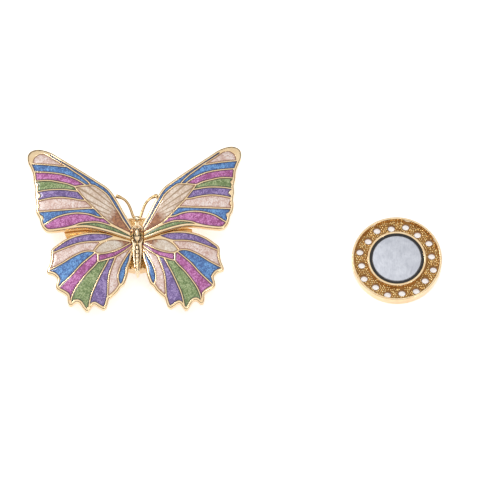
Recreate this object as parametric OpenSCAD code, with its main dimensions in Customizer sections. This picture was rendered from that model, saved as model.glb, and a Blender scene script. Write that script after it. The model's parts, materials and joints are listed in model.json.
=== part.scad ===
// A butterfly brooch that is worn with a magnetic keeper.
//
// The butterfly is four domed wing castings with sunk cells of coloured enamel,
// a body casting with two antennae, and a magnet cup on a post behind them.
// The keeper is a loose open-work disc with a second magnet. It lies beside the
// brooch with its magnet up, and it goes behind the cloth when the brooch is worn.
//
// Origin: the middle of the brooch's magnet face, on the surface it lies on.
// +Z is towards the front, +Y towards the head, +X towards the keeper.

/* [Butterfly] */
// Width across the two forewings
butterfly_w = 52.4; // [46:0.1:64]
// Reach of the left wings against the drawn wing
left_reach = 1.02; // [0.9:0.01:1.1]
// Reach of the right wings against the drawn wing
right_reach = 0.975; // [0.9:0.01:1.1]
// Distance from the magnet's middle up to the wing roots
root_y = 3.3; // [2:0.1:5]

/* [Wing castings] */
// Thickness of a wing casting
wing_t = 1.5; // [1.2:0.05:2]
// Height of the forewing's crest
fore_crest_z = 7.8; // [7.4:0.05:9]
// Radius of the forewing's dome
fore_dome_r = 70; // [55:1:120]
// Height of the hindwing's crest
hind_crest_z = 6.6; // [6.2:0.05:7]
// Radius of the hindwing's dome
hind_dome_r = 60; // [50:1:120]
// Width of the smooth rim around each wing
rim_w = 0.66; // [0.4:0.02:1]
// Width of the hindwing's rim beside the forewing
seam_w = 0.42; // [0.3:0.02:0.6]
// Width of the veins between the cells
vein_w = 0.4; // [0.25:0.01:0.55]
// Metal left between a cell and the body
root_rim = 0.15; // [0.1:0.01:0.3]

/* [Enamel] */
// Depth of a cell's pocket below the rim
pocket_d = 0.75; // [0.5:0.01:1]
// How far the enamel lies below the rim
enamel_drop = 0.1; // [0.05:0.01:0.25]
// Clearance around the enamel in its pocket
enamel_gap = 0.01; // [0.01:0.005:0.05]

/* [Body] */
// Height of the body casting's flat back below the wings
body_back_z = 3.3; // [3.1:0.1:3.6]
// Height at which the body's rounded top starts
body_ledge_z = 6.1; // [5.8:0.05:6.4]
// Radius of the thorax
thorax_r = 1.35; // [1.1:0.05:1.4]
// Radius of the polished oval on the thorax
oval_r = 0.8; // [0.6:0.05:1]
// Radius of the abdomen at its widest
abdomen_r = 0.75; // [0.6:0.05:0.9]
// Ridges along the abdomen
abdomen_ridges = 7; // [3:1:8]
// Radius of the head
head_r = 0.72; // [0.6:0.02:0.9]
// Radius of an eye
eye_r = 0.2; // [0.15:0.01:0.25]
// Diameter of an antenna
antenna_d = 0.7; // [0.5:0.02:0.8]
// Diameter of the club at an antenna's end
club_d = 1; // [0.8:0.02:1.2]

/* [Magnets] */
// Diameter of each magnet
magnet_d = 12; // [10:0.1:15]
// Thickness of each magnet
magnet_t = 2; // [1.5:0.1:3]
// Width of the dark liner around each magnet
liner_w = 0.6; // [0.3:0.05:1]

/* [Magnet cup on the brooch] */
// Wall of the cup
cup_wall = 0.4; // [0.3:0.05:0.8]
// Thickness of the cup's front at its lip
cup_front_t = 0.6; // [0.5:0.05:1]
// Width of the lip on the cup's front
cup_lip_w = 0.5; // [0.3:0.05:1]
// Depth of the grained floor inside the lip
cup_recess = 0.25; // [0.1:0.05:0.3]
// Diameter of the post that carries the wings
post_d = 6.4; // [4:0.1:8]
// Length of the post between the cup's lip and the bridge
post_l = 1.3; // [0.8:0.1:2]
// Thickness of the bridge plate behind the wings
bridge_t = 1.3; // [1:0.1:1.5]
// Thickness of the solder between the wings' backs and the bridge and post
solder_gap = 0.03; // [0.02:0.01:0.1]

/* [Keeper] */
// Diameter of the keeper's open-work tray inside its lip
tray_d = 20.8; // [19.5:0.1:26]
// Width of the keeper's lip
lip_w = 0.6; // [0.4:0.05:1]
// Thickness of the keeper's floor under its magnet
floor_t = 0.6; // [0.4:0.05:1]
// Thickness of the open-work floor around the magnet
tray_t = 1.2; // [0.6:0.05:1.8]
// Width of the collar around the keeper's magnet
collar_w = 0.56; // [0.4:0.02:0.8]
// Number of holes in the tray
hole_n = 16; // [12:1:18]
// Diameter of a hole
hole_d = 1.7; // [1.2:0.05:1.8]
// Distance from the collar to the holes' mean circle
hole_off = 1.75; // [1.4:0.05:1.8]
// How far every other hole steps in or out of that circle
hole_step = 0.3; // [0:0.05:0.4]
// Turn of the hole pattern about the keeper's middle
hole_turn = 7; // [0:0.5:22]
// Place of the keeper's middle across from the brooch
keeper_x = 63; // [58:0.5:80]
// Place of the keeper's middle along the brooch
keeper_y = -5; // [-10:0.5:10]

/* [Hidden] */
steps = 4;
drawn_reach = 26.3;
size = butterfly_w / (drawn_reach * (left_reach + right_reach));
sides = [["left", -1, left_reach], ["right", 1, right_reach]];

cup_r = magnet_d / 2 + liner_w + cup_wall;
cup_h = magnet_t + cup_front_t;
bridge_z = cup_h + post_l;
bridge_top = bridge_z + bridge_t;
collar_r = magnet_d / 2 + liner_w + collar_w;
keeper_h = floor_t + magnet_t;
keeper_r = tray_d / 2 + lip_w;
dome_fn = 400;

// The drawn wing: x runs out from the body's centre line, y up from the wing root.
// Crests of the two domes, in the drawn wing.
fore_crest = [15, 8];
hind_crest = [12, -10];

// The forewing's edge: leading edge, tip, outer margin and lower edge.
fore_edge = [
    [0.6, -0.8], [2.9, 3.1], [4.5, 6.2], [6.6, 9.4], [9.5, 11.6], [12.6, 13.8],
    [15.4, 15.8], [18.3, 17.9], [20.4, 19.5], [22.2, 20.4], [24, 20.8], [25.6, 20.3],
    [26.3, 19.1], [26.2, 17.4], [25.5, 15.6], [24.9, 13.7], [24.7, 11.6], [24.3, 9.8],
    [24.4, 8], [24.1, 6.3], [24.2, 4.8], [24, 3.3], [23.3, 1.9], [23, 0.5],
    [22.3, -0.8], [21, -1.6], [17.9, -1.4], [15.1, -1], [12.4, -0.8], [9.7, -1.2],
    [6.1, -2.1], [2.5, -3.2], [0.6, -3.7]
];

// The hindwing's edge: top edge, outer lobes and inner margin.
hind_edge = [
    [0.4, -3.3], [4, -2.6], [6.4, -1.6], [8.7, -1.4], [11, -1.4], [13.1, -1.7],
    [15.2, -2.3], [17.3, -3.3], [19.1, -4.6], [20.5, -5.9], [20.6, -8], [20.9, -9.7],
    [21.5, -11.3], [21.3, -12], [19.9, -12.6], [19, -13.8], [19.3, -15], [19.2, -16.2],
    [17.6, -17.3], [16.7, -18.1], [16.6, -19.4], [16.2, -20.4], [15.5, -20.4], [14.6, -19.7],
    [13.7, -20], [12.8, -21.4], [12, -22], [11.3, -21.5], [10.7, -20.6], [10.1, -20.4],
    [9, -21.1], [8.1, -21.5], [7.4, -21], [7, -19.9], [6.7, -18.9], [5.9, -18.2],
    [4.7, -17], [4, -15.9], [3.2, -15.2], [2.7, -14], [2.3, -12.5], [2.1, -11],
    [1.5, -9.2], [1.1, -7.3], [0.4, -5]
];

// The middle lines of the forewing's veins, from the margin inwards.
fore_v0 = [[26.5, 17], [25, 16.7], [20.4, 16], [17.6, 15.5], [16.8, 15.5]];
fore_v1 = [[26, 14.5], [24.9, 14.4], [21.3, 14], [17.8, 13.3], [15.1, 12.2], [13.3, 11.1], [12.2, 10.2]];
fore_v2 = [[26, 11.8], [24.4, 11.8], [21.3, 11.8], [18.6, 11.2], [16.5, 10.6], [14.9, 9.9]];
fore_v3 = [[26, 8.8], [23.9, 8.9], [21.3, 9.2], [17.8, 9.2], [15.3, 8.8], [14, 8.6]];
fore_v4 = [[26, 6.2], [23.9, 6.4], [21.3, 6.9], [18.6, 7.1], [16, 6.8], [13.6, 6.3], [12.2, 6.2]];
fore_v5 = [[26, 3.5], [23.8, 3.6], [19.5, 3.7], [15.1, 3.9], [11.5, 4.1], [10.2, 4.1]];
fore_v6 = [[24, -0.6], [22, 0.3], [19.5, 1.8], [16.9, 2.6], [14.2, 2.9], [11.5, 2.6], [9.4, 1.9], [7.9, 1.7]];
fore_v7 = [
    [24, -1.4], [21.2, -1.2], [18.6, -1.1], [16.9, -0.8], [15, -0.3], [13.3, 0.3],
    [10.6, 0.6], [8.8, 0.5], [6.6, -0.1], [4.3, -1], [1, -2.7]
];
// The vein under the leading edge, and the two sides of the long cell.
fore_costal = [
    [21, 18.5], [19.9, 17.7], [18.6, 16.7], [16.8, 15.5], [15.1, 14.1], [13.3, 12.7], [11.7, 11.2], [11, 10.3]
];
discal_top = [
    [14.9, 9.9], [12.2, 10.2], [11, 10.3], [10, 10.1], [8.3, 8.9], [6.8, 7.4], [5.3, 4.8], [4.3, 3.2], [3.2, 1.2], [1, -2]
];
discal_low = [[14.9, 9.9], [14, 8.6], [12.2, 6.2], [10.2, 4.1], [7.9, 1.7], [5.6, -0.1], [1, -2.2]];
// The wide smooth band around the tip's cell.
tip_band = [[19.9, 17.7], [21.2, 18.8], [22.3, 19.4], [23.5, 19.4], [24.7, 18.5], [25.1, 17.2], [25, 16.7]];

// The middle lines of the hindwing's veins, from the margin inwards.
hind_v1 = [
    [22, -7.2], [19.9, -6.7], [17.3, -5.7], [14.2, -4.6], [11.8, -4.2], [9, -4.1], [7.2, -3.5], [5.7, -2.8]
];
hind_v2 = [[22.5, -11.9], [20.7, -11.2], [18, -9.8], [15.7, -8.3], [13.4, -7.1], [11.8, -6.7], [10.4, -6.8]];
hind_v3 = [[19.6, -17], [18.4, -15.6], [15.7, -13], [13.4, -10.3], [11.8, -8.8], [10, -7.2]];
hind_v4 = [
    [15.9, -21], [15.7, -18.9], [14.8, -16.6], [13.4, -14.5], [11.8, -12.4], [10.3, -10.8], [9.3, -9.5]
];
hind_v5 = [[11.7, -22.5], [11.5, -20.7], [10.9, -18], [9.8, -15.3], [8.7, -12.8], [7.6, -10.6], [6.7, -8.7]];
hind_v6 = [[6.9, -21], [7.1, -19.2], [7, -16.3], [6.8, -13.5], [6.2, -11.2], [5.1, -8.1]];
hind_v7 = [[4.2, -17], [4.2, -15.6], [4.6, -13.8], [4.3, -11.8], [3.6, -9.9], [2.3, -7.4], [1, -5.3]];
// The vein around the leaf-shaped cell, and the two sides of the narrow one below it.
leaf_top = [[1.2, -4], [4, -3.5], [6.4, -3.5], [8.2, -4.3], [9.5, -5.5], [10.4, -6.8]];
leaf_low = [[10.4, -6.8], [9, -7.5], [7, -7.15], [5, -6.4], [3.2, -5.4], [1.2, -4]];
blade_top = [[9.3, -7.8], [9, -7.5], [7, -7.15], [5, -6.4], [3.2, -5.4], [1.2, -4]];
blade_low = [[9.3, -9.5], [8.4, -9.3], [6.7, -8.7], [5.1, -8.1], [3.1, -6.6], [1, -4.7]];

// Where a scallop of the rim bites into a cell's outer end: point and direction.
fore_bites = [[23.5, 10.6, 0], [23, 7.8, 0], [23.2, 5, 0], [22.4, 2.3, -30]];
hind_bites = [[19, -13.1, -35], [17, -17, -55]];
bite_r = 0.8;

// The body seen from the front: half of its outline, from the head down.
body_half = [
    [0, 2.1], [0.4, 1.9], [0.58, 1.4], [0.55, 0.3], [1, -0.2], [1.4, -0.9], [1.45, -2.6], [1.35, -4],
    [1.1, -5], [1.15, -6.4], [1, -8], [0.85, -10], [0.6, -11.6], [0.25, -12.6], [0, -12.8]
];
head_y = 1.6;
head_z = 6.5;
thorax_y = [-0.2, -4.8];
oval_y = [-1, -3.6];
abdomen_y = [-4.6, -12.3];
// How far the spindles' axes lie below the ledge, and the oval's above it.
spindle_sink = 0.15;
oval_rise = 0.8;

// An antenna's middle line, from the head to its club, and how thick it is there.
antenna_path = [
    [0.45, 1.7, 6.6], [0.95, 2.2, 6.7], [1.25, 3.1, 6.8], [1.58, 4.05, 7], [2, 5, 7.2],
    [2.6, 5.9, 7.3], [3.2, 6.45, 7.4], [3.9, 6.85, 7.4], [4.5, 7.12, 7.4], [5, 7.35, 7.3]
];

// The bridge plate behind the wings: two arms and a middle that the post stands on.
bridge_plan = [
    [-18, -0.6], [-12, 0.2], [-5, 0.8], [-2, 1], [2, 1], [5, 0.8], [10, 0.2], [13.4, -0.9],
    [13.2, -2.4], [8, -3.4], [5, -6], [2.5, -8], [-2.5, -8], [-5, -6], [-8, -3.6], [-13, -2.8], [-17, -2.9]
];

// The line behind which a forewing's lower edge meets its hindwing.
wing_seam = [[0, -3.9], [2.5, -3.2], [6.1, -2.1], [9.7, -1.25], [14, -1.1], [22, -2.2]];

metal = "#e6c68a";
blue = "#4a7cc0";
magenta = "#b8509e";
green = "#86a055";
purple = "#7d5fa8";
pink = "#e6c4bd";
cream = "#dcc3a5";

// Catmull-Rom curves through hand-set points.
function bend(a, b, c, d, t) =
    0.5 * (2 * b + (c - a) * t + (2 * a - 5 * b + 4 * c - d) * t * t + (3 * b - a - 3 * c + d) * t * t * t);
function curve(p) = [
    for (i = [0 : len(p) - 2])
        for (j = [0 : steps - 1])
            bend(p[max(i - 1, 0)], p[i], p[i + 1], p[min(i + 2, len(p) - 1)], j / steps),
    p[len(p) - 1]
];
function back(p) = [for (i = [len(p) - 1 : -1 : 0]) p[i]];
function between(a, b, join = []) = concat(curve(a), join, back(curve(b)));
// A drawn outline set out on one side of the brooch.
function place(p, side) = [for (q = p) [side[1] * side[2] * size * q[0], size * q[1] + root_y]];

// The cells of each wing: name, colour and the area between the middle lines of its veins.
fore_cells = [
    ["tip_pink", pink, concat(curve([for (i = [1 : 4]) fore_v0[i]]), curve(tip_band))],
    ["upper_blue", blue, between(fore_v0, fore_v1, [[15.1, 14.1], [13.3, 12.7], [11.7, 11.2], [11, 10.3]])],
    ["upper_magenta", magenta, between(fore_v1, fore_v2)],
    ["upper_green", green, between(fore_v2, fore_v3)],
    ["purple", purple, between(fore_v3, fore_v4)],
    ["mid_pink", pink, between(fore_v4, fore_v5)],
    ["lower_blue", blue, between(fore_v5, fore_v6)],
    ["lower_magenta", magenta, between(fore_v6, [for (i = [0 : 8]) fore_v7[i]], [[5.9, 0]])],
    ["lower_green", green, concat(curve([for (i = [4 : 10]) fore_v7[i]]), [[0, -5], [15, -4]])],
    [
        "costal_blue", blue,
        concat(curve(fore_costal), curve([for (i = [3 : 9]) discal_top[i]]), [[-2, -1], [20, 24]])
    ],
    ["discal_cream", cream, between(discal_top, discal_low)]
];
hind_cells = [
    ["top_purple", purple, concat(curve(hind_v1), [[5.7, 0], [22, 0]])],
    ["top_pink", pink, between([for (i = [0 : 5]) hind_v1[i]], hind_v2, [[8.8, -4.6], [9.6, -5.5]])],
    ["outer_blue", blue, between(hind_v2, hind_v3)],
    ["outer_magenta", magenta, between(hind_v3, hind_v4, [[9.4, -7.5]])],
    ["green", green, between(hind_v4, hind_v5, [[8.4, -9.3]])],
    ["lower_purple", purple, between(hind_v5, hind_v6)],
    ["inner_pink", pink, between(hind_v6, hind_v7, [[3.1, -6.6], [1, -4.7]])],
    ["inner_blue", blue, concat(curve(hind_v7), [[-1, -5.3], [-1, -17]])],
    ["inner_magenta", magenta, between(blade_top, blade_low)],
    ["discal_cream", cream, between(leaf_top, back(leaf_low))]
];

fixed_nodes = [
    "keeper_disc", "keeper_liner", "keeper_magnet",
    "base_cup", "base_liner", "base_magnet", "mounting_post", "wing_bridge",
    "forewing_left", "forewing_right", "hindwing_left", "hindwing_right",
    "body_casting", "antenna_left", "antenna_right"
];
function fore_name(cell, side) = str("fore_", cell[0], "_", side[0]);
function hind_name(cell, side) = str("hind_", cell[0], "_", side[0]);

// ---- flat outlines ----

module body_plan() {
    right = [for (q = curve(body_half)) [size * q[0], size * q[1] + root_y]];
    polygon(concat(right, [for (q = back(right)) [-q[0], q[1]]]));
}

module fore_outline(side) {
    polygon(place(curve(fore_edge), side));
}

module hind_outline(side) {
    polygon(place(curve(hind_edge), side));
}

module bridge_outline() {
    polygon([for (q = bridge_plan) [size * q[0], size * q[1] + root_y]]);
}

module bites(list, side) {
    for (b = list) {
        middle = [b[0] + bite_r * cos(b[2]), b[1] + bite_r * sin(b[2])];
        translate(place([middle], side)[0]) circle(r = size * bite_r, $fn = 24);
    }
}

// The part of a wing that its cells may fill.
module fore_field(side) {
    difference() {
        offset(delta = -rim_w) fore_outline(side);
        offset(delta = root_rim) body_plan();
        bites(fore_bites, side);
    }
}

module hind_field(side) {
    difference() {
        offset(delta = -rim_w) hind_outline(side);
        offset(delta = seam_w) fore_outline(side);
        offset(delta = root_rim) body_plan();
        bites(hind_bites, side);
    }
}

// One cell, drawn in from the veins' middle lines and from the rim.
module cell_outline(cell, side, gap, fore) {
    offset(delta = -gap) intersection() {
        offset(delta = -vein_w / 2) polygon(place(cell[2], side));
        if (fore) fore_field(side); else hind_field(side);
    }
}

// ---- domes ----

module dome(crest, crest_z, dome_r, side, drop) {
    translate(concat(place([crest], side)[0], crest_z - dome_r)) rotate([90, 0, 0])
        sphere(r = dome_r - drop, $fn = dome_fn);
}

module fore_dome(side, drop) {
    dome(fore_crest, fore_crest_z, fore_dome_r, side, drop);
}

module hind_dome(side, drop) {
    dome(hind_crest, hind_crest_z, hind_dome_r, side, drop);
}

// ---- wings ----

module fore_block(side) {
    difference() {
        linear_extrude(height = fore_crest_z + 1) fore_outline(side);
        fore_dome(side, wing_t);
    }
}

module hind_block(side) {
    difference() {
        linear_extrude(height = hind_crest_z + 1) hind_outline(side);
        hind_dome(side, wing_t);
    }
}

module body_block() {
    linear_extrude(height = fore_crest_z + 2) body_plan();
}

module forewing(side) {
    color(metal) difference() {
        intersection() {
            fore_block(side);
            fore_dome(side, 0);
        }
        difference() {
            linear_extrude(height = fore_crest_z + 1)
                for (cell = fore_cells) cell_outline(cell, side, 0, true);
            fore_dome(side, pocket_d);
        }
        body_block();
    }
}

module hindwing(side) {
    color(metal) difference() {
        intersection() {
            hind_block(side);
            hind_dome(side, 0);
        }
        difference() {
            linear_extrude(height = hind_crest_z + 1)
                for (cell = hind_cells) cell_outline(cell, side, 0, false);
            hind_dome(side, pocket_d);
        }
        linear_extrude(height = fore_crest_z + 1) fore_outline(side);
        body_block();
    }
}

module fore_enamel(cell, side) {
    color(cell[1]) difference() {
        intersection() {
            linear_extrude(height = fore_crest_z + 1) cell_outline(cell, side, enamel_gap, true);
            fore_dome(side, enamel_drop);
        }
        fore_dome(side, pocket_d);
    }
}

module hind_enamel(cell, side) {
    color(cell[1]) difference() {
        intersection() {
            linear_extrude(height = hind_crest_z + 1) cell_outline(cell, side, enamel_gap, false);
            hind_dome(side, enamel_drop);
        }
        hind_dome(side, pocket_d);
    }
}

// ---- body ----

// A spindle along Y between two drawn stations, turned about its own axis in n steps.
module spindle(ends, r, z, n, ripples, ripple) {
    long = size * (ends[0] - ends[1]);
    profile = [
        for (i = [0 : n])
            let (t = i / n)
                [r * sqrt(max(1 - pow(abs(2 * t - 1), 2.4), 0)) * (1 - ripple * abs(sin(180 * ripples * t))), long * t]
    ];
    translate([0, size * ends[1] + root_y, z]) rotate([-90, 0, 0]) rotate_extrude($fn = 48)
        polygon(concat([[0, 0]], [for (i = [1 : n - 1]) profile[i]], [[0, long]]));
}

module head() {
    translate([0, size * head_y + root_y, head_z]) rotate([90, 0, 0]) sphere(r = head_r, $fn = 48);
}

module body_casting() {
    color(metal) difference() {
        union() {
            translate([0, 0, body_back_z])
                linear_extrude(height = body_ledge_z - body_back_z) body_plan();
            spindle(thorax_y, thorax_r, body_ledge_z - spindle_sink, 12, 1, 0);
            spindle(oval_y, oval_r, body_ledge_z + oval_rise, 12, 1, 0);
            spindle(abdomen_y, abdomen_r, body_ledge_z - spindle_sink, 4 * abdomen_ridges, abdomen_ridges, 0.16);
            head();
            for (s = [-1, 1])
                translate([s * head_r * 0.8, size * head_y + root_y - head_r * 0.25, head_z + head_r * 0.55])
                    rotate([0, 0, 90 - 90 * s]) sphere(r = eye_r, $fn = 24);
        }
        linear_extrude(height = bridge_top) bridge_outline();
    }
}

// A round rod swept along the antenna's middle line, ending in its club.
// The rod keeps its own width up to club_start of its length, and is as wide as the club club_rise further on.
club_start = 0.72;
club_rise = 0.14;
function rod_r(t) =
    (antenna_d + (club_d - antenna_d) * max(min((t - club_start) / club_rise, 1), 0)) / 2;
module antenna_rod(s) {
    n = 10;
    line = [for (q = curve(antenna_path)) [s * size * q[0], size * q[1] + root_y, q[2]]];
    last = len(line) - 1;
    rings = [
        for (i = [0 : last])
            let (
                d = line[min(i + 1, last)] - line[max(i - 1, 0)],
                u = d / norm(d),
                a = cross(u, [0, 0, 1]) / norm(cross(u, [0, 0, 1])),
                b = cross(a, u),
                r = rod_r(i / last)
            )
            for (k = [0 : n - 1]) line[i] + r * (a * cos(360 * k / n) + b * sin(360 * k / n))
    ];
    polyhedron(
        points = rings,
        faces = concat(
            [[for (k = [0 : n - 1]) k]],
            [[for (k = [n - 1 : -1 : 0]) last * n + k]],
            [
                for (i = [0 : last - 1])
                    for (k = [0 : n - 1])
                        let (m = (k + 1) % n)
                            each [[i * n + k, (i + 1) * n + k, i * n + m], [i * n + m, (i + 1) * n + k, (i + 1) * n + m]]
            ]
        )
    );
}

module antenna(side) {
    color(metal) difference() {
        antenna_rod(side[1]);
        head();
        translate([0, 0, body_back_z]) linear_extrude(height = body_ledge_z - body_back_z) body_plan();
        intersection() {
            fore_block(side);
            fore_dome(side, 0);
        }
    }
}

// ---- bridge, post and magnet cup ----

// The plate is cut to the wings' backs, the forewings' above the seam and the hindwings' below it.
module bridge_cut(far, side) {
    linear_extrude(height = fore_crest_z) polygon(place(concat(wing_seam, far), side));
}

// The room that the wings take up above the bridge and the post, with the solder under them.
module wing_room() {
    difference() {
        for (side = sides) {
            difference() {
                bridge_cut([[22, 6], [0, 6]], side);
                fore_dome(side, wing_t + solder_gap);
            }
            difference() {
                bridge_cut([[22, -14], [0, -14]], side);
                hind_dome(side, wing_t + solder_gap);
            }
        }
        linear_extrude(height = fore_crest_z + 2) offset(delta = -solder_gap) body_plan();
    }
}

module wing_bridge() {
    color(metal) difference() {
        translate([0, 0, bridge_z]) linear_extrude(height = bridge_t) bridge_outline();
        wing_room();
    }
}

module mounting_post() {
    color(metal) difference() {
        translate([0, 0, cup_h - cup_recess]) cylinder(d = post_d, h = post_l + cup_recess, $fn = 48);
        wing_room();
    }
}

module base_cup() {
    inner = cup_r - cup_wall;
    color(metal) rotate_extrude($fn = 96) polygon([
        [inner, 0], [cup_r, 0], [cup_r, cup_h], [cup_r - cup_lip_w, cup_h],
        [cup_r - cup_lip_w, cup_h - cup_recess], [0, cup_h - cup_recess], [0, magnet_t], [inner, magnet_t]
    ]);
}

module magnet(z) {
    color("#aab4c8") translate([0, 0, z]) cylinder(d = magnet_d, h = magnet_t, $fn = 96);
}

module liner(z) {
    color("#26242c") translate([0, 0, z]) rotate_extrude($fn = 96)
        translate([magnet_d / 2, 0]) square([liner_w, magnet_t]);
}

// ---- keeper ----

module at_keeper() {
    translate([keeper_x, keeper_y, 0]) children();
}

module keeper_disc() {
    inner = collar_r - collar_w;
    mean_r = collar_r + hole_off;
    color(metal) at_keeper() difference() {
        rotate_extrude($fn = 96) polygon([
            [0, 0], [keeper_r, 0], [keeper_r, keeper_h], [tray_d / 2, keeper_h], [tray_d / 2, tray_t],
            [collar_r, tray_t], [collar_r, keeper_h], [inner, keeper_h], [inner, floor_t], [0, floor_t]
        ]);
        for (i = [0 : hole_n - 1])
            rotate(hole_turn + 360 * i / hole_n) translate([mean_r + (i % 2 == 0 ? -1 : 1) * hole_step, 0, -1])
                cylinder(d = hole_d, h = tray_t + 2, $fn = 32);
    }
}

// ---- what is drawn ----

keeper_disc();
at_keeper() liner(floor_t);  // keeper_liner
at_keeper() magnet(floor_t);  // keeper_magnet
base_cup();
liner(0);  // base_liner
magnet(0);  // base_magnet
mounting_post();
wing_bridge();
body_casting();
for (side = sides) {
    forewing(side);
    hindwing(side);
    antenna(side);
    for (cell = fore_cells)
        fore_enamel(cell, side);
    for (cell = hind_cells)
        hind_enamel(cell, side);
}
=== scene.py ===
"""The butterfly brooch and its magnetic keeper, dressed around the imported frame.

Lengths are in millimetres in the helpers and become metres in new_piece().
"""

import json
import math

import bpy
import numpy as np
from mathutils import Euler, Matrix, Vector
from mathutils.geometry import delaunay_2d_cdt


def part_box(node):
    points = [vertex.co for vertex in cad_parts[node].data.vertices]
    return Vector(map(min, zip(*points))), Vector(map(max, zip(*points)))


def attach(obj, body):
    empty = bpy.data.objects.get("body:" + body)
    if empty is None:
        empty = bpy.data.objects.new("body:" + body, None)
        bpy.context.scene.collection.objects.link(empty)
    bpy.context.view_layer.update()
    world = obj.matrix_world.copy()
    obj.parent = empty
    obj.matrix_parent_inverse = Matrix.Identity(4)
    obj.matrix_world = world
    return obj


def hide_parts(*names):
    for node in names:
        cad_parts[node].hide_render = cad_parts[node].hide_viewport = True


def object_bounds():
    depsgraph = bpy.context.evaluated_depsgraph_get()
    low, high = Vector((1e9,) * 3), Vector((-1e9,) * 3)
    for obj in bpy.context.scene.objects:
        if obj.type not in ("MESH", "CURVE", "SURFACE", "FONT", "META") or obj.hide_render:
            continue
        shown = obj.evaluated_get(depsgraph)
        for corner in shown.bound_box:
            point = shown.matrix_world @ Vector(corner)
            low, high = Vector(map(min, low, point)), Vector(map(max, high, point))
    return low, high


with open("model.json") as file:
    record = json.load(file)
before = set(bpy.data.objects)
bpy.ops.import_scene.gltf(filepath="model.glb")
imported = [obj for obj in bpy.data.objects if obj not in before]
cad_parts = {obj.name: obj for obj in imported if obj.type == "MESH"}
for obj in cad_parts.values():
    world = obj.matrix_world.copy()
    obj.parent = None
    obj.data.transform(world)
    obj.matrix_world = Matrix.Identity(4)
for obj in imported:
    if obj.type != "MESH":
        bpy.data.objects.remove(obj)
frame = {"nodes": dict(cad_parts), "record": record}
cad_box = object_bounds()
NODES = frame["nodes"]
MM = 0.001

# ---- sizes of the finish, in millimetres ----

WING_T = 1.5
POCKET_D = 0.75
ENAMEL_T = 0.6
VEIN_ROUND = 0.17
RIM_ROUND = 0.36
BACK_ROUND = 0.22
EDGE_STEP = 0.2
# Rows of points beside an edge, by their distance from it.
FRAME_ROWS = (0.03, 0.07, 0.12, 0.19, 0.28)
BACK_ROWS = (0.06, 0.14, 0.25)
ENAMEL_ROWS = (0.04, 0.09, 0.16, 0.26)
TRAY_ROWS = (0.04, 0.1)
CORNER_DEG = 38
ENAMEL_LAP = 0.03
CROWN = 0.07
CROWN_REACH = 0.3
CROWN_SINK = 0.02
EDGE_SHADE = 0.34
BEAD_R = 0.25
BEAD_PITCH = 0.54
BODY_VOXEL = 0.06
ROD_VOXEL = 0.06
GROOVE_FULL = 0.07
GROOVE_PASSES = 14
TABLE_GAP = 0.02
EASED_EDGE = 0.12
MAGNET_EASE = 0.18
SLEEVE_PLAY = 0.01
SLEEVE_DROP = 0.12
CUP_WALL = 0.4
CUP_LIP = 0.5
CUP_RECESS = 0.25


# ---- reading the frame ----


def node_mesh(name):
    """The welded points (mm) and triangles of a CAD node."""
    mesh = NODES[name].data
    mesh.calc_loop_triangles()
    points = np.array([v.co for v in mesh.vertices], float) / MM
    tris = np.array([t.vertices for t in mesh.loop_triangles], int)
    keys, index = np.unique(np.round(points, 4), axis=0, return_inverse=True)
    tris = index.reshape(-1)[tris]
    good = (tris[:, 0] != tris[:, 1]) & (tris[:, 1] != tris[:, 2]) & (tris[:, 2] != tris[:, 0])
    return keys, tris[good]


def normals_of(points, tris):
    a, b, c = (points[tris[:, i]] for i in range(3))
    n = np.cross(b - a, c - a)
    return n / np.maximum(np.linalg.norm(n, axis=1, keepdims=True), 1e-12)


def face_groups(tris):
    """The triangles in groups that share edges."""
    parent = list(range(len(tris)))

    def root(i):
        while parent[i] != i:
            parent[i] = parent[parent[i]]
            i = parent[i]
        return i

    seen = {}
    for i, t in enumerate(tris):
        for k in range(3):
            e = tuple(sorted((int(t[k]), int(t[(k + 1) % 3]))))
            if e in seen:
                parent[root(i)] = root(seen[e])
            else:
                seen[e] = i
    groups = {}
    for i in range(len(tris)):
        groups.setdefault(root(i), []).append(i)
    return [tris[g] for g in groups.values()]


def rings_of(tris):
    """The closed boundary rings of a group of triangles, as lists of point numbers."""
    edges = {}
    for t in tris:
        for k in range(3):
            edges[(int(t[k]), int(t[(k + 1) % 3]))] = True
    step = {}
    for a, b in edges:
        if (b, a) not in edges:
            step.setdefault(a, []).append(b)
    rings = []
    while step:
        start = next(iter(step))
        ring, here = [start], start
        while True:
            nxt = step[here].pop()
            if not step[here]:
                del step[here]
            if nxt == start:
                break
            ring.append(nxt)
            here = nxt
            if here not in step:
                break
        if len(ring) > 2:
            rings.append(ring)
    return rings


def area_of(ring):
    x, y = ring[:, 0], ring[:, 1]
    return 0.5 * float(np.sum(x * np.roll(y, -1) - np.roll(x, -1) * y))


def upper_face(name, most_holes=False):
    """The largest upward face of a node, or the one with most holes: outer ring, inner rings, points."""
    points, tris = node_mesh(name)
    up = tris[normals_of(points, tris)[:, 2] > 0.5]
    found = []
    for group in face_groups(up):
        rings = [points[r][:, :2] for r in rings_of(group)]
        rings.sort(key=lambda r: -abs(area_of(r)))
        spread = np.prod(np.ptp(points[np.unique(group)][:, :2], axis=0))
        found.append((len(rings) if most_holes else 0, spread, rings, points[np.unique(group)]))
    _, _, rings, top = max(found, key=lambda f: f[:2])
    return rings[0], rings[1:], top


def fit_dome(points):
    """The sphere through points: centre and radius."""
    a = np.c_[2 * points, np.ones(len(points))]
    x, *_ = np.linalg.lstsq(a, (points**2).sum(1), rcond=None)
    return x[:3], math.sqrt(x[3] + x[:3] @ x[:3])


def dome_height(dome, xy, drop=0.0):
    centre, radius = dome
    d2 = ((xy - centre[:2]) ** 2).sum(1)
    return centre[2] + np.sqrt((radius - drop) ** 2 - d2)


# ---- outlines ----


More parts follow.
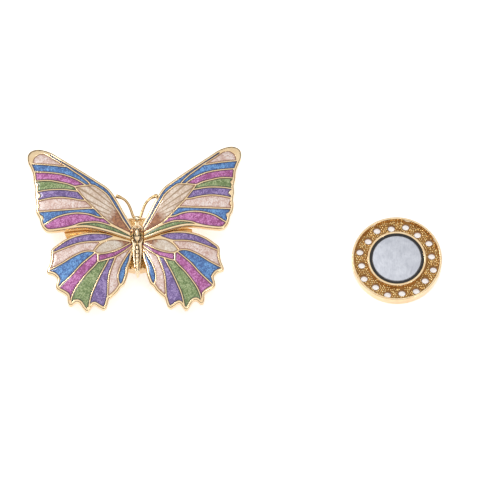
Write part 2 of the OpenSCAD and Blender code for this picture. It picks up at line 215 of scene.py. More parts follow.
def smooth_ring(ring, step=EDGE_STEP, corner=CORNER_DEG):
    """The ring with its curved stretches resampled smoothly and its corners kept, anticlockwise."""
    if area_of(ring) < 0:
        ring = ring[::-1]
    keep = [ring[i] for i in range(len(ring)) if np.linalg.norm(ring[i] - ring[i - 1]) > 0.02]
    ring = np.array(keep)
    n = len(ring)
    before = ring - np.roll(ring, 1, axis=0)
    after = np.roll(ring, -1, axis=0) - ring
    turn = np.degrees(np.arctan2(np.cross(before, after), (before * after).sum(1)))
    corners = [i for i in range(n) if abs(turn[i]) > corner]
    if not corners:
        spans = [list(range(n)) + [0]]
        closed = True
    else:
        closed = False
        spans = []
        for a, b in zip(corners, corners[1:] + [corners[0] + n]):
            spans.append([i % n for i in range(a, b + 1)])
    out = []
    for span in spans:
        p = ring[span]
        m = len(p)
        for i in range(m - 1):
            p0 = p[i - 1] if i > 0 else (ring[span[-2]] if closed else p[0])
            p3 = p[i + 2] if i + 2 < m else (ring[span[1]] if closed else p[m - 1])
            p1, p2 = p[i], p[i + 1]
            k = max(1, round(np.linalg.norm(p2 - p1) / step))
            for j in range(k):
                t = j / k
                out.append(
                    0.5
                    * (
                        2 * p1
                        + (p2 - p0) * t
                        + (2 * p0 - 5 * p1 + 4 * p2 - p3) * t * t
                        + (3 * p1 - p0 - 3 * p2 + p3) * t**3
                    )
                )
    return np.array(out)


def ring_normals(ring):
    """Unit normals that point out of an anticlockwise ring."""
    d = np.roll(ring, -1, axis=0) - np.roll(ring, 1, axis=0)
    n = np.c_[d[:, 1], -d[:, 0]]
    return n / np.maximum(np.linalg.norm(n, axis=1, keepdims=True), 1e-9)


def shifted(ring, out):
    """The ring moved out by a small distance."""
    return ring + out * ring_normals(ring)


def edge_distance(points, rings):
    """The distance from each point to the nearest ring edge."""
    best = np.full(len(points), 1e9)
    a = np.concatenate([r for r in rings])
    b = np.concatenate([np.roll(r, -1, axis=0) for r in rings])
    d = b - a
    dd = np.maximum((d**2).sum(1), 1e-12)
    for i in range(0, len(points), 2000):
        p = points[i : i + 2000, None, :]
        t = np.clip(((p - a) * d).sum(2) / dd, 0, 1)
        q = a + t[..., None] * d
        best[i : i + 2000] = np.sqrt(((p - q) ** 2).sum(2).min(1))
    return best


def inside(points, rings):
    """Whether each point lies inside the rings by the even-odd rule."""
    count = np.zeros(len(points), int)
    for r in rings:
        a, b = r, np.roll(r, -1, axis=0)
        for i in range(0, len(points), 4000):
            x = points[i : i + 4000, None, 0]
            y = points[i : i + 4000, None, 1]
            span = (a[:, 1] > y) != (b[:, 1] > y)
            with np.errstate(divide="ignore", invalid="ignore"):
                cross = (b[:, 0] - a[:, 0]) * (y - a[:, 1]) / (b[:, 1] - a[:, 1]) + a[:, 0]
            count[i : i + 4000] += (span & (x < cross)).sum(1)
    return count % 2 == 1


def fill(rings, offsets, pitch, margin):
    """Triangles over the area between rings, with rows of points along their edges and a grid inside."""
    extra = []
    for k, ring in enumerate(rings):
        n = ring_normals(ring)
        side = -1 if k == 0 else 1
        for d in offsets:
            row = ring + side * d * n
            extra.append(np.c_[row, np.full(len(row), d)])
    extra = np.concatenate(extra) if extra else np.zeros((0, 3))
    if len(extra):
        far = edge_distance(extra[:, :2], rings)
        extra = extra[(far > 0.93 * extra[:, 2]) & inside(extra[:, :2], rings)][:, :2]
    else:
        extra = extra[:, :2]
    grid = np.zeros((0, 2))
    if pitch:
        low, high = rings[0].min(0), rings[0].max(0)
        xs = np.arange(low[0], high[0], pitch)
        ys = np.arange(low[1], high[1], pitch * 0.866)
        grid = np.array([(x + (j % 2) * pitch / 2, y) for j, y in enumerate(ys) for x in xs])
        grid = grid[inside(grid, rings)]
    if len(grid):
        grid = grid[edge_distance(grid, rings) > margin]
    border = np.concatenate(rings)
    points = np.concatenate([border, extra, grid])
    edges, start = [], 0
    for r in rings:
        n = len(r)
        edges += [(start + i, start + (i + 1) % n) for i in range(n)]
        start += n
    out = delaunay_2d_cdt([Vector(p) for p in points], edges, [], 0, 1e-5, True)
    verts = np.array([tuple(v) for v in out[0]])
    faces = np.array([f for f in out[2] if len(f) == 3])
    middle = verts[faces].mean(1)
    faces = faces[inside(middle, rings)]
    v = verts[faces]
    size = np.cross(v[:, 1] - v[:, 0], v[:, 2] - v[:, 0])
    faces[size < 0] = faces[size < 0][:, ::-1]
    faces = faces[abs(size) > 1e-8]
    source = {s: i for i, ids in enumerate(out[3]) for s in ids}
    numbers, start = [], 0
    for r in rings:
        numbers.append([source[start + i] for i in range(len(r))])
        start += len(r)
    return verts, faces, numbers


def rounding(d, radius):
    """How far a rounded edge has dropped at distance d inside it."""
    return radius - np.sqrt(radius**2 - np.clip(radius - d, 0, radius) ** 2)


# ---- pieces ----


def new_piece(name, points, faces, body, material, stands_for=(), sharp=50, values=None):
    """A smooth-shaded mesh from points in millimetres, riding on a body."""
    mesh = bpy.data.meshes.new(name)
    places = [tuple(float(c) * MM for c in p) for p in points]
    mesh.from_pydata(places, [], [tuple(map(int, f)) for f in faces])
    for key, numbers in (values or {}).items():
        layer = mesh.attributes.new(key, "FLOAT", "POINT")
        layer.data.foreach_set("value", np.asarray(numbers, np.float32))
    mesh.polygons.foreach_set("use_smooth", [True] * len(mesh.polygons))
    mesh.set_sharp_from_angle(angle=math.radians(sharp))
    mesh.materials.append(material)
    mesh.update()
    piece = bpy.data.objects.new(name, mesh)
    bpy.context.scene.collection.objects.link(piece)
    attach(piece, body)
    if stands_for:
        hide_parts(*stands_for)
    return piece


def wall(upper, lower):
    """The quads between two rings of point numbers, seen from outside an anticlockwise ring."""
    n = len(upper)
    return [(lower[i], lower[(i + 1) % n], upper[(i + 1) % n], upper[i]) for i in range(n)]


def wing_frame(node):
    """The cast frame of a wing: a rounded rim and rounded veins around open pockets."""
    outer, holes, top = upper_face(node)
    dome = fit_dome(top)
    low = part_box(node)[0].z / MM
    rings = [smooth_ring(outer)] + [smooth_ring(h) for h in holes]
    verts, faces, ids = fill(rings, FRAME_ROWS, 0.4, 0.33)
    drop = rounding(edge_distance(verts, rings[:1]), RIM_ROUND)
    drop = np.maximum(drop, rounding(edge_distance(verts, rings[1:]), VEIN_ROUND))
    points = [np.c_[verts, dome_height(dome, verts) - drop]]
    faces = [tuple(f) for f in faces]
    count = len(verts)

    back, back_faces, back_ids = fill(rings[:1], BACK_ROWS, 1.0, 0.5)
    lift = rounding(edge_distance(back, rings[:1]), BACK_ROUND)
    points.append(np.c_[back, dome_height(dome, back, WING_T) + lift])
    faces += [(f[0] + count, f[2] + count, f[1] + count) for f in back_faces]
    faces += wall(ids[0], [i + count for i in back_ids[0]])
    count += len(back)

    for ring, edge in zip(rings[1:], ids[1:]):
        floor, floor_faces, floor_ids = fill([ring], (), 0, 0)
        points.append(np.c_[floor, dome_height(dome, floor, POCKET_D)])
        faces += [tuple(f + count) for f in floor_faces]
        faces += wall([i + count for i in floor_ids[0]], edge)
        count += len(floor)
    return new_piece(node.replace("wing", "wing_frame"), np.concatenate(points), faces, "brooch",
                     gold, [node])


def enamel_cell(node, material):
    """One enamel fill: a softly crowned top that laps under the rounded veins."""
    outer, _, top = upper_face(node)
    dome = fit_dome(top)
    ring = shifted(smooth_ring(outer), ENAMEL_LAP)
    verts, faces, ids = fill([ring], ENAMEL_ROWS, 0.35, 0.33)
    far = edge_distance(verts, [ring])
    height = dome_height(dome, verts) + CROWN * (1 - np.exp(-far / CROWN_REACH)) - CROWN_SINK
    under, under_faces, under_ids = fill([ring], (), 0, 0)
    n = len(verts)
    points = np.concatenate([np.c_[verts, height], np.c_[under, dome_height(dome, under, ENAMEL_T)]])
    faces = [tuple(f) for f in faces] + [(f[0] + n, f[2] + n, f[1] + n) for f in under_faces]
    faces += wall(ids[0], [i + n for i in under_ids[0]])
    # edge runs from 0 at the cell wall to 1 inside; the paint uses it to lay painted shade of the wall, along with
    # thicker enamel, along the cell's edge.
    edge = np.r_[np.clip(far / EDGE_SHADE, 0, 1), np.zeros(len(under))]
    return new_piece("enamel_" + node, points, faces, "brooch", material, [node], 60, {"edge": edge})


def rounded(profile, radius, n=5, closed=True):
    """The profile with its corners turned into arcs of up to the radius."""
    p = np.array(profile, float)
    out = []
    for i in range(len(p)):
        if not closed and i in (0, len(p) - 1):
            out.append(p[i])
            continue
        a, b, c = p[i - 1], p[i], p[(i + 1) % len(p)]
        u, v = a - b, c - b
        lu, lv = np.linalg.norm(u), np.linalg.norm(v)
        u, v = u / lu, v / lv
        half = math.acos(max(-1, min(1, float(u @ v)))) / 2
        back = min(radius / math.tan(half), 0.48 * lu, 0.48 * lv)
        r = back * math.tan(half)
        mid = (u + v) / np.linalg.norm(u + v)
        centre = b + mid * r / math.sin(half)
        start, end = b + u * back - centre, b + v * back - centre
        sweep = math.pi - 2 * half
        if start[0] * end[1] - start[1] * end[0] < 0:
            sweep = -sweep
        for k in range(n + 1):
            t = sweep * k / n
            out.append(centre + np.array([start[0] * math.cos(t) - start[1] * math.sin(t),
                                          start[0] * math.sin(t) + start[1] * math.cos(t)]))
    return np.array(out)


def lathe(name, profile, centre, body, material, stands_for=(), steps=160, sharp=40):
    """A solid of revolution. A profile that starts and ends on the axis closes there."""
    profile = np.array(profile)
    on_axis = profile[0][0] < 1e-6 and profile[-1][0] < 1e-6
    ring = profile[1:-1] if on_axis else profile
    turn = 2 * np.pi * np.arange(steps) / steps
    points = np.concatenate([np.c_[r * np.cos(turn), r * np.sin(turn), np.full(steps, z)] for r, z in ring])
    m = len(ring)
    rows = range(m - 1) if on_axis else range(m)
    faces = []
    for i in rows:
        a, b = i * steps, ((i + 1) % m) * steps
        faces += [(a + k, a + (k + 1) % steps, b + (k + 1) % steps, b + k) for k in range(steps)]
    if on_axis:
        n = len(points)
        points = np.concatenate([points, [[0, 0, profile[0][1]], [0, 0, profile[-1][1]]]])
        faces += [(n, (k + 1) % steps, k) for k in range(steps)]
        last = (m - 1) * steps
        faces += [(n + 1, last + k, last + (k + 1) % steps) for k in range(steps)]
    points = points + np.array([centre[0], centre[1], 0])
    return new_piece(name, points, faces, body, material, stands_for, sharp)


# ---- materials ----


class Paint:
    """A material's node graph, worked in millimetres of the object's own space."""

    def __init__(self, name):
        self.material = bpy.data.materials.new(name)
        self.material.use_nodes = True
        self.tree = self.material.node_tree
        self.tree.nodes.clear()
        out = self.tree.nodes.new("ShaderNodeOutputMaterial")
        self.shader = self.tree.nodes.new("ShaderNodeBsdfPrincipled")
        self.link(self.shader.outputs[0], out.inputs[0])
        coords = self.tree.nodes.new("ShaderNodeTexCoord")
        scale = self.tree.nodes.new("ShaderNodeMapping")
        scale.inputs["Scale"].default_value = (1 / MM, 1 / MM, 1 / MM)
        self.link(coords.outputs["Object"], scale.inputs["Vector"])
        self.place = scale.outputs["Vector"]

    def link(self, a, b):
        self.tree.links.new(a, b)

    def put(self, node, key, value):
        if isinstance(value, bpy.types.NodeSocket):
            self.link(value, node.inputs[key])
        else:
            node.inputs[key].default_value = value

    def set(self, **values):
        for key, value in values.items():
            self.put(self.shader, key.replace("_", " ").title().replace("Ior", "IOR"), value)

    def stretched(self, x, y, z):
        node = self.tree.nodes.new("ShaderNodeVectorMath")
        node.operation = "MULTIPLY"
        self.link(self.place, node.inputs[0])
        node.inputs[1].default_value = (x, y, z)
        return node.outputs[0]

    def noise(self, scale, detail=2, distortion=0, roughness=0.5, place=None, kind="FBM"):
        node = self.tree.nodes.new("ShaderNodeTexNoise")
        node.noise_type = kind
        self.link(place or self.place, node.inputs["Vector"])
        node.inputs["Scale"].default_value = scale
        node.inputs["Detail"].default_value = detail
        node.inputs["Distortion"].default_value = distortion
        node.inputs["Roughness"].default_value = roughness
        return node.outputs["Fac"]

    def math(self, kind, a, b=0.0):
        node = self.tree.nodes.new("ShaderNodeMath")
        node.operation = kind
        self.put(node, 0, a)
        self.put(node, 1, b)
        return node.outputs[0]

    def part(self, axis):
        node = self.tree.nodes.new("ShaderNodeSeparateXYZ")
        self.link(self.place, node.inputs[0])
        return node.outputs[axis]

    def ramp(self, value, *stops):
        node = self.tree.nodes.new("ShaderNodeValToRGB")
        line = node.color_ramp.elements
        for k, (at, colour) in enumerate(stops):
            stop = line[k] if k < 2 else line.new(at)
            stop.position = at
            stop.color = (*colour, 1) if len(colour) == 3 else colour
        self.link(value, node.inputs[0])
        return node.outputs[0]

    def span(self, value, low, high, to_low=0.0, to_high=1.0):
        node = self.tree.nodes.new("ShaderNodeMapRange")
        self.link(value, node.inputs[0])
        for k, v in enumerate((low, high, to_low, to_high)):
            node.inputs[k + 1].default_value = v
        return node.outputs[0]

    def mix(self, factor, a, b, kind="MIX"):
        node = self.tree.nodes.new("ShaderNodeMix")
        node.data_type = "RGBA"
        node.blend_type = kind
        for key, value in ((0, factor), (6, a), (7, b)):
            if isinstance(value, tuple) and len(value) == 3:
                value = (*value, 1)
            self.put(node, key, value)
        return node.outputs[2]

    def value(self, name):
        node = self.tree.nodes.new("ShaderNodeAttribute")
        node.attribute_name = name
        return node.outputs["Fac"]

    def bump(self, height, strength, depth):
        node = self.tree.nodes.new("ShaderNodeBump")
        node.inputs["Strength"].default_value = strength
        node.inputs["Distance"].default_value = depth * MM
        self.link(height, node.inputs["Height"])
        self.link(node.outputs[0], self.shader.inputs["Normal"])


def gold_paint(name, colour, deep, rough, groove_shade=None):
    """Polished plate: waviness from the casting, wipe marks, a warmer tone in places, and painted shade in the
    grooves.
    """
    p = Paint(name)
    plate = p.mix(p.span(p.noise(0.5, 3), 0.35, 0.7), colour, deep)
    # Painted shade: the plate darkens towards the groove shade colour where a point lies deep below its
    # surroundings.
    if groove_shade:
        plate = p.mix(p.value("groove_shade"), plate, groove_shade)
    p.set(base_color=plate, metallic=1.0)
    wipe = p.noise(2.5, 4, 0.6, 0.6, p.stretched(1, 5, 1))
    p.set(roughness=p.span(wipe, 0.3, 0.75, rough, rough + 0.1))
    p.bump(p.math("ADD", p.noise(0.9, 2), p.math("MULTIPLY", wipe, 0.12)), 0.35, 0.05)
    return p.material


def enamel_paint(name, deep, mid, light, edge, change=None):
    """Pearl enamel: a worm-like mottle under a clear coat, darker where it meets the metal as painted shade of the
    walls and thicker enamel there.
    """
    p = Paint(name)
    # The pale end of this mottle is partly painted sheen of the hammered base under the enamel, and partly the
    # enamel's own mottled tone.
    worms = p.noise(1.7, 2.5, 1.8, 0.55)
    cloud = p.noise(0.42, 2)
    body = p.ramp(p.math("ADD", p.math("MULTIPLY", worms, 0.75), p.math("MULTIPLY", cloud, 0.25)),
                  (0.41, deep), (0.5, mid), (0.58, light))
    if change:
        body = change(p, body)
    # Painted shade: the colour darkens towards the cell walls where the raised veins shade the enamel, partly also
    # because the enamel lies thicker there.
    rim = p.ramp(p.value("edge"), (0.2, edge), (0.9, (1, 1, 1)))
    p.set(base_color=p.mix(1.0, body, rim, "MULTIPLY"), metallic=0.25)
    p.set(roughness=0.42, coat_weight=1.0, coat_roughness=0.05, coat_ior=1.5)
    p.bump(worms, 0.8, 0.09)
    return p.material


def root_blush(x_end, root_y, brown, deep_brown, lines):
    """A change for the cream cells: copper brown towards the body with a ragged boundary, and fine ribs."""

    def change(p, body):
        x = p.math("ABSOLUTE", p.part(0))
        y = p.math("SUBTRACT", p.part(1), root_y)
        far = p.math("SQRT", p.math("ADD", p.math("MULTIPLY", x, x), p.math("MULTIPLY", y, y)))
        ragged = p.math("ADD", far, p.math("MULTIPLY", p.math("SUBTRACT", p.noise(1.1, 3, 0.5), 0.5), 3.4))
        blush = p.span(ragged, x_end + 0.8, x_end - 0.8)
        tone = p.mix(p.span(p.noise(1.6, 3, 1.2), 0.35, 0.65), deep_brown, brown)
        if lines:
            angle = p.math("ARCTAN2", y, x)
            wave = p.math("SINE", p.math("MULTIPLY", angle, lines))
            rib = p.math("MULTIPLY", p.span(wave, 0.5, 0.9), p.span(far, 5, 8))
            body = p.mix(p.math("MULTIPLY", rib, 0.85), body, (0.34, 0.20, 0.09))
        return p.mix(blush, body, tone)

    return change


def magnet_paint():
    """Bright nickel plate: a pale blue-grey with a faint cloud, fine wipe marks and a few dark specks."""
    p = Paint("magnet_nickel_plate")
    cloud = p.noise(0.5, 4, 0.8)
    streak = p.noise(1.3, 5, 0.2, 0.65, p.stretched(3, 0.8, 1))
    tone = p.ramp(p.math("ADD", p.math("MULTIPLY", cloud, 0.5), p.math("MULTIPLY", streak, 0.5)),
                  (0.35, (0.50, 0.52, 0.58)), (0.65, (0.72, 0.74, 0.80)))
    speck = p.span(p.noise(2.8, 1), 0.77, 0.8)
    p.set(base_color=p.mix(speck, tone, (0.2, 0.2, 0.25)), metallic=0.85)
    p.set(roughness=p.span(streak, 0.3, 0.7, 0.38, 0.52))
    p.bump(p.math("ADD", p.noise(9, 3), streak), 0.25, 0.02)
    return p.material


def rubber_paint():
    p = Paint("liner_rubber")
    grain = p.noise(6, 3)
    p.set(base_color=p.mix(grain, (0.010, 0.009, 0.009), (0.028, 0.025, 0.024)))
    p.set(roughness=p.span(grain, 0.3, 0.7, 0.5, 0.7))
    p.bump(grain, 0.3, 0.02)
    return p.material


def paper_paint():
    p = Paint("white_table")
    p.set(base_color=p.mix(p.noise(0.02, 2), (0.92, 0.92, 0.92), (0.94, 0.94, 0.94)), roughness=0.8)
    p.set(emission_color=(1, 1, 1, 1), emission_strength=0.5)
    p.bump(p.noise(2, 3), 0.05, 0.02)
    return p.material


gold = gold_paint("pale_gold_plate", (0.90, 0.70, 0.44), (0.84, 0.60, 0.34), 0.1)
# Painted light and shade: the grain gold is paler than the plate as painted light on the grain tops, and the next
# gold is a dark brown gold as painted shade between the grains; both stand for one gold casting.
grain_painted_light_gold = gold_paint("grained_gold_plate", (0.98, 0.80, 0.46), (0.92, 0.66, 0.30), 0.16)
tray_painted_shade_gold = gold_paint("shaded_gold_plate", (0.40, 0.20, 0.06), (0.26, 0.12, 0.035), 0.35)
# Painted shade: a dark brown laid into the creases of the body and antennae, where shade falls.
painted_groove_shade = (0.12, 0.05, 0.02)
rod_gold = gold_paint("antenna_gold_plate", (0.78, 0.56, 0.30), (0.60, 0.38, 0.17), 0.1, painted_groove_shade)
body_gold = gold_paint("body_gold_plate", (0.96, 0.79, 0.54), (0.88, 0.64, 0.38), 0.1, painted_groove_shade)
nickel = magnet_paint()
rubber = rubber_paint()

brown, deep_brown = (0.50, 0.20, 0.07), (0.20, 0.06, 0.02)
# The fourth colour of each enamel is its tone at the cell walls: painted shade of the walls, together with thicker
# enamel there.
PAINTS = {
    "enamel_blue": enamel_paint("blue_enamel", (0.02, 0.085, 0.30), (0.055, 0.19, 0.50), (0.17, 0.42, 0.80),
                                (0.05, 0.08, 0.18)),
    "enamel_magenta": enamel_paint("magenta_enamel", (0.28, 0.03, 0.17), (0.46, 0.085, 0.34), (0.72, 0.28, 0.60),
                                   (0.16, 0.05, 0.10)),
    "enamel_green": enamel_paint("green_enamel", (0.10, 0.17, 0.035), (0.20, 0.29, 0.085), (0.42, 0.50, 0.24),
                                 (0.08, 0.12, 0.05)),
    "enamel_purple": enamel_paint("purple_enamel", (0.11, 0.055, 0.23), (0.20, 0.115, 0.36), (0.42, 0.30, 0.60),
                                  (0.11, 0.07, 0.17)),
    "enamel_pink": enamel_paint("pink_enamel", (0.62, 0.38, 0.31), (0.80, 0.59, 0.51), (0.92, 0.80, 0.76),
                                (0.42, 0.22, 0.12)),
    "fore_cream": enamel_paint("forewing_cream_enamel", (0.60, 0.43, 0.31), (0.76, 0.59, 0.46), (0.88, 0.76, 0.64),
                               (0.55, 0.40, 0.25), root_blush(6.6, 3.3, brown, deep_brown, 56)),
    "hind_cream": enamel_paint("hindwing_cream_enamel", (0.60, 0.47, 0.35), (0.74, 0.62, 0.50), (0.85, 0.78, 0.68),
                               (0.55, 0.38, 0.22), root_blush(6.2, 3.3, brown, deep_brown, 0)),
}

# ---- wings ----

SLOTS = {s["node"]: s["material_slot"] for s in frame["record"]["subparts"]}
for wing in ("forewing_left", "forewing_right", "hindwing_left", "hindwing_right"):
    wing_frame(wing)
for node, slot in SLOTS.items():
    if slot.startswith("enamel_"):
        enamel_cell(node, PAINTS.get(slot) or PAINTS[node[:4] + "_cream"])

# ---- body and antennae ----


def remeshed(points, faces, voxel, smoothing):
    """The points and faces of a closed shape after a voxel remesh and a light smoothing."""
    mesh = bpy.data.meshes.new("rough")
    mesh.from_pydata([tuple(map(float, p)) for p in points], [], [tuple(map(int, f)) for f in faces])
    rough = bpy.data.objects.new("rough", mesh)
    bpy.context.scene.collection.objects.link(rough)
    grid = rough.modifiers.new("grid", "REMESH")
    grid.mode, grid.voxel_size = "VOXEL", voxel
    ease = rough.modifiers.new("ease", "SMOOTH")
    ease.factor, ease.iterations = 0.5, smoothing
    done = rough.evaluated_get(bpy.context.evaluated_depsgraph_get()).to_mesh()
    out = np.array([v.co for v in done.vertices], float), [tuple(p.vertices) for p in done.polygons]
    rough.evaluated_get(bpy.context.evaluated_depsgraph_get()).to_mesh_clear()
    bpy.data.objects.remove(rough)
    return out


def groove_depth(points, faces):
    """How deep each point lies below its smoothed surroundings, from 0 to 1 at GROOVE_FULL."""
    pairs = np.array([(f[k], f[(k + 1) % len(f)]) for f in faces for k in range(len(f))])
    pairs = np.unique(np.sort(pairs, axis=1), axis=0)
    count = np.bincount(pairs.ravel(), minlength=len(points))[:, None]
    eased = points
    for _ in range(GROOVE_PASSES):
        total = np.zeros_like(points)
        np.add.at(total, pairs[:, 0], eased[pairs[:, 1]])
        np.add.at(total, pairs[:, 1], eased[pairs[:, 0]])
        eased = total / count
    normal = np.zeros_like(points)
    for f in faces:
        face_normal = np.cross(points[f[1]] - points[f[0]], points[f[2]] - points[f[0]])
        for i in f:
            normal[i] += face_normal
    normal /= np.maximum(np.linalg.norm(normal, axis=1, keepdims=True), 1e-12)
    return np.clip(((eased - points) * normal).sum(1) / GROOVE_FULL, 0, 1)


def ball(centre, radii, n=28):
    """Points and faces of a closed ellipsoid."""
    rows = [math.pi * i / n for i in range(1, n)]
    turn = [2 * math.pi * k / (2 * n) for k in range(2 * n)]
    points = [(math.sin(a) * math.cos(b), math.sin(a) * math.sin(b), math.cos(a)) for a in rows for b in turn]
    m = 2 * n
    faces = [(i * m + k, (i + 1) * m + k, (i + 1) * m + (k + 1) % m, i * m + (k + 1) % m)
             for i in range(n - 2) for k in range(m)]
    points += [(0, 0, 1), (0, 0, -1)]
    top = len(points) - 2
    faces += [(top, k, (k + 1) % m) for k in range(m)]
    last = (n - 2) * m
    faces += [(top + 1, last + (k + 1) % m, last + k) for k in range(m)]
    return np.array(points) * radii + np.array(centre), faces


# The groove depth of each point sets how much painted shade darkens the creases of the body and antennae.
points, tris = node_mesh("body_casting")
points, faces = remeshed(points, tris, BODY_VOXEL, 4)
new_piece("body_sculpt", points, faces, "brooch", body_gold, ["body_casting"], 180,
          {"groove_shade": groove_depth(points, faces)})

for side in ("left", "right"):
    points, faces = remeshed(*node_mesh("antenna_" + side), ROD_VOXEL, 8)
    new_piece("antenna_rod_" + side, points, faces, "brooch", rod_gold, ["antenna_" + side], 180,
              {"groove_shade": groove_depth(points, faces)})

# ---- cup, post and bridge ----


def centre_of(node):
    lo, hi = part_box(node)
    return ((lo + hi) / 2 / MM)[:2]


def reach_of(node):
    lo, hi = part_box(node)
    return (hi.x - lo.x) / 2 / MM


def magnet_set(name, body, magnet, liner, bottom, top):
    """A bare disc magnet with an eased edge, and the black sleeve around it."""
    r, wide, at = reach_of(magnet), reach_of(liner), centre_of(magnet)
    edge = MAGNET_EASE
    disc = [(0, bottom), (r - edge, bottom), (r, bottom + edge), (r, top - edge), (r - edge, top), (0, top)]
    lathe(name + "_magnet_disc", rounded(disc, 0.05, 2, False), at, body, nickel, [magnet])
    inner, outer, low_z, high_z = r + SLEEVE_PLAY, wide - SLEEVE_PLAY, bottom + 2 * SLEEVE_PLAY, top - SLEEVE_DROP
    sleeve = [(inner, low_z), (outer, low_z), (outer, high_z), (inner, high_z)]
    lathe(name + "_magnet_sleeve", rounded(sleeve, 0.08), at, body, rubber, [liner])


def grains(name, body, at, inner, outer, z, radius, pitch, holes, seed):
    """Half-sunk round grains over a ring, clear of its holes."""
    random = np.random.default_rng(seed)
    shell, faces = ball((0, 0, 0), (1, 1, 1), 5)
    points, all_faces = [], []
    ys = np.arange(-outer, outer + pitch, pitch * 0.866)
    for row, y in enumerate(ys):
        for x in np.arange(-outer, outer + pitch, pitch) + (row % 2) * pitch / 2:
            p = np.array([x, y]) + random.uniform(-0.22, 0.22, 2) * pitch
            r = radius * random.uniform(0.8, 1.15)
            far = np.hypot(*p)
            if not inner + 0.7 * r < far < outer - 0.7 * r:
                continue
            if any(np.hypot(*(p + at - c)) < hole_r + 0.75 * r for c, hole_r in holes):
                continue
            lift = random.uniform(-0.25, 0.15) * r
            all_faces += [tuple(i + len(points) * len(shell) for i in f) for f in faces]
            points.append(shell * r + np.array([p[0] + at[0], p[1] + at[1], z + lift]))
    # The grains carry the paler gold that is painted light on their tops.
    return new_piece(name, np.concatenate(points), all_faces, body, grain_painted_light_gold, (), 180)


cup_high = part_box("base_cup")[1] / MM
cup_r, cup_top, magnet_top = cup_high.x, cup_high.z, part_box("base_magnet")[1].z / MM
inner_r, lip_r, floor_z = cup_r - CUP_WALL, cup_r - CUP_LIP, cup_top - CUP_RECESS
cup = [(0, magnet_top), (inner_r, magnet_top), (inner_r, 0), (cup_r, 0), (cup_r, cup_top), (lip_r, cup_top),
       (lip_r, floor_z), (0, floor_z)]
lathe("magnet_cup", rounded(cup, 0.12, 4, False), (0, 0), "brooch", gold, ["base_cup"])
magnet_set("brooch", "brooch", "base_magnet", "base_liner", 0, magnet_top)
post_r = reach_of("mounting_post")
grains("cup_grains", "brooch", np.zeros(2), post_r, lip_r, floor_z, 0.17, 0.37, [], 5)

for node in ("mounting_post", "wing_bridge"):
    NODES[node].data.materials.clear()
    NODES[node].data.materials.append(gold)
    ease = NODES[node].modifiers.new("eased_edges", "BEVEL")
    ease.width, ease.segments, ease.limit_method = EASED_EDGE * MM, 3, "ANGLE"

# ---- keeper ----

keeper_at = centre_of("keeper_disc")
keeper_r = reach_of("keeper_disc")
keeper_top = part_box("keeper_disc")[1].z / MM
tray, tray_holes, tray_points = upper_face("keeper_disc", True)
tray_z = float(tray_points[:, 2].mean())
rings = sorted(tray_holes, key=lambda r: -abs(area_of(r)))
tray_r = float(np.hypot(*(tray - keeper_at).T).mean())
collar_r = float(np.hypot(*(rings[0] - keeper_at).T).mean())
pocket_r = reach_of("keeper_liner")
pocket_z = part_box("keeper_magnet")[0].z / MM
holes = [(r.mean(0), float(np.hypot(*(r - r.mean(0)).T).mean())) for r in rings[1:]]

rim = [(tray_r - 0.05, 0), (keeper_r, 0), (keeper_r, keeper_top - 0.3), (keeper_r - 0.12, keeper_top),
       (tray_r, keeper_top), (tray_r, 0.1), (tray_r - 0.05, 0.1)]
lathe("keeper_rim", rounded(rim, 0.14), keeper_at, "keeper", gold, ["keeper_disc"])
collar = [(0, 0), (collar_r, 0), (collar_r, keeper_top), (pocket_r, keeper_top), (pocket_r, pocket_z),
          (0, pocket_z)]
lathe("keeper_collar", rounded(collar, 0.12, 5, False), keeper_at, "keeper", gold)
magnet_set("keeper", "keeper", "keeper_magnet", "keeper_liner", pocket_z, keeper_top)


def circle(centre, r, n):
    turn = 2 * np.pi * np.arange(n) / n
    return np.c_[centre[0] + r * np.cos(turn), centre[1] + r * np.sin(turn)]


def tray_floor():
    """The open-work floor: a flat ring whose round holes have softened edges."""
    edges = [circle(keeper_at, tray_r + 0.03, 200), circle(keeper_at, collar_r - 0.03, 150)]
    edges += [circle(c, r, 44) for c, r in holes]
    verts, faces, ids = fill(edges, TRAY_ROWS, 0.6, 0.25)
    drop = rounding(edge_distance(verts, edges[2:]), 0.1)
    n = len(verts)
    points = np.concatenate([np.c_[verts, tray_z - drop], np.c_[verts, drop]])
    every = [tuple(f) for f in faces] + [(f[0] + n, f[2] + n, f[1] + n) for f in faces]
    every += wall(ids[0], [i + n for i in ids[0]])
    for edge in ids[1:]:
        every += wall([i + n for i in edge], edge)
    # The tray floor carries the dark gold that is painted shade between the grains.
    return new_piece("keeper_tray", points, every, "keeper", tray_painted_shade_gold)


tray_floor()
grains("keeper_grains", "keeper", keeper_at, collar_r, tray_r, tray_z, BEAD_R, BEAD_PITCH, holes, 11)

# ---- stage ----

low, high = cad_box
bpy.ops.mesh.primitive_plane_add(size=4, location=(0.025, 0, low.z - TABLE_GAP * MM))
table = bpy.context.object
table.name = "table_top"
table.data.materials.append(paper_paint())


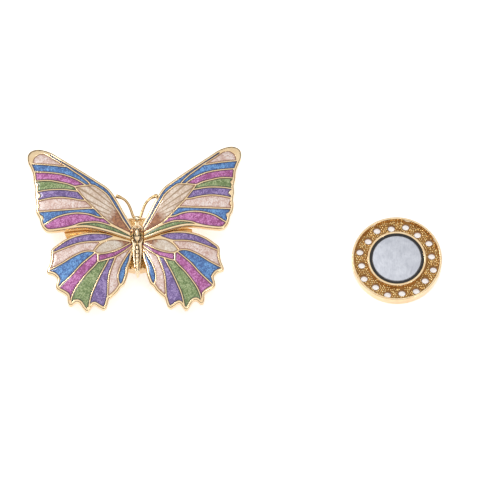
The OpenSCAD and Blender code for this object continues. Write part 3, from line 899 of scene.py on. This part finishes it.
def soft_light(name, place, aim, size, power, colour=(1, 1, 1)):
    lamp = bpy.data.lights.new(name, "AREA")
    lamp.shape, lamp.size, lamp.size_y = "RECTANGLE", size[0], size[1]
    lamp.energy, lamp.color = power, colour
    light = bpy.data.objects.new(name, lamp)
    light.location = place
    light.rotation_euler = (Vector(aim) - Vector(place)).to_track_quat("-Z", "Y").to_euler()
    bpy.context.scene.collection.objects.link(light)


soft_light("left_softbox", (-0.28, 0.22, 0.5), (0.0, 0, 0), (0.16, 0.1), 0.6)
soft_light("right_softbox", (0.35, -0.3, 0.45), (0.03, 0, 0), (0.12, 0.12), 0.3)

world = bpy.data.worlds.new("studio")
bpy.context.scene.world = world
world.use_nodes = True
tree = world.node_tree
coords = tree.nodes.new("ShaderNodeTexCoord")
split = tree.nodes.new("ShaderNodeSeparateXYZ")
tree.links.new(coords.outputs["Generated"], split.inputs[0])
sky = tree.nodes.new("ShaderNodeValToRGB")
line = sky.color_ramp.elements
line[0].position, line[0].color = 0.0, (0.05, 0.04, 0.035, 1)
line[1].position, line[1].color = 1.0, (1.0, 1.0, 1.0, 1)
for at, tone in ((0.42, 0.02), (0.55, 0.35), (0.66, 0.85)):
    stop = line.new(at)
    stop.color = (tone, tone, tone, 1)
tree.links.new(split.outputs[2], sky.inputs[0])
background = tree.nodes["Background"]
background.inputs["Strength"].default_value = 1.1
tree.links.new(sky.outputs[0], background.inputs["Color"])

# ---- camera ----

LOOK_AT = Vector((0.02495, 0.00159, 0.0))
ELEVATION = math.radians(67)
ROLL = math.radians(-0.9)
DISTANCE = 1.0
lens = bpy.data.cameras.new("camera")
lens.sensor_width = 36
lens.lens = 307
camera = bpy.data.objects.new("camera", lens)
camera.location = LOOK_AT + DISTANCE * Vector((0, -math.cos(ELEVATION), math.sin(ELEVATION)))
tilt = Euler((math.pi / 2 - ELEVATION, 0, 0)).to_matrix()
camera.rotation_euler = (tilt @ Matrix.Rotation(ROLL, 3, "Z")).to_euler()
bpy.context.scene.collection.objects.link(camera)
bpy.context.scene.camera = camera
bpy.context.scene.view_settings.view_transform = "Standard"
